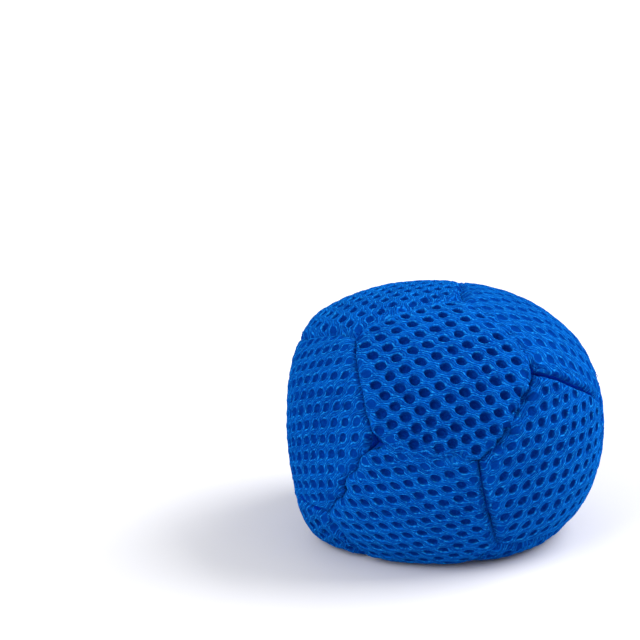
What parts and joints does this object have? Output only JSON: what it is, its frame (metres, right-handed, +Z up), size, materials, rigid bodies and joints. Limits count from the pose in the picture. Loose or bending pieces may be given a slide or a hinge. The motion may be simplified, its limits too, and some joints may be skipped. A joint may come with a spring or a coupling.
{
  "type": "footbag",
  "caption": "Round sewn footbag: pentagon panels of air mesh, turned-in stitched seams and a loose pellet fill, resting on its flattened base.",
  "frame": {"origin": "on the ground, at the middle of the bag's box seen from above", "axes": "+Z up; -Y towards the viewer of the picture, +X to the viewer's right"},
  "size_m": [0.0588, 0.0604, 0.0454],
  "materials": {
    "air_mesh": "bright blue spacer mesh knit, with rows of round holes over a darker backing",
    "thread": "blue polyester sewing thread",
    "pellets": "loose off-white plastic pellets"
  },
  "bodies": {
    "root": {"closing_thread": "thread", "panel_back": "air_mesh", "panel_back_left": "air_mesh", "panel_back_right": "air_mesh", "panel_base_back": "air_mesh", "panel_base_left": "air_mesh", "panel_base_right": "air_mesh", "panel_front": "air_mesh", "panel_front_low": "air_mesh", "panel_left": "air_mesh", "panel_right": "air_mesh", "panel_top_left": "air_mesh", "panel_top_right": "air_mesh", "pellet_fill": "pellets", "thread_back_left_to_base_back": "thread", "thread_back_left_to_base_left": "thread", "thread_back_left_to_left": "thread", "thread_back_left_to_top_left": "thread", "thread_back_right_to_base_back": "thread", "thread_back_right_to_base_right": "thread", "thread_back_right_to_right": "thread", "thread_back_right_to_top_right": "thread", "thread_back_to_back_left": "thread", "thread_back_to_base_back": "thread", "thread_back_to_top_left": "thread", "thread_back_to_top_right": "thread", "thread_base_back_to_base_left": "thread", "thread_base_back_to_base_right": "thread", "thread_base_left_to_base_right": "thread", "thread_base_left_to_front_low": "thread", "thread_base_left_to_left": "thread", "thread_base_right_to_front_low": "thread", "thread_base_right_to_right": "thread", "thread_front_low_to_left": "thread", "thread_front_low_to_right": "thread", "thread_front_to_front_low": "thread", "thread_front_to_left": "thread", "thread_front_to_right": "thread", "thread_front_to_top_left": "thread", "thread_front_to_top_right": "thread", "thread_left_to_top_left": "thread", "thread_right_to_top_right": "thread", "thread_top_left_to_top_right": "thread"}
  },
  "joints": []
}
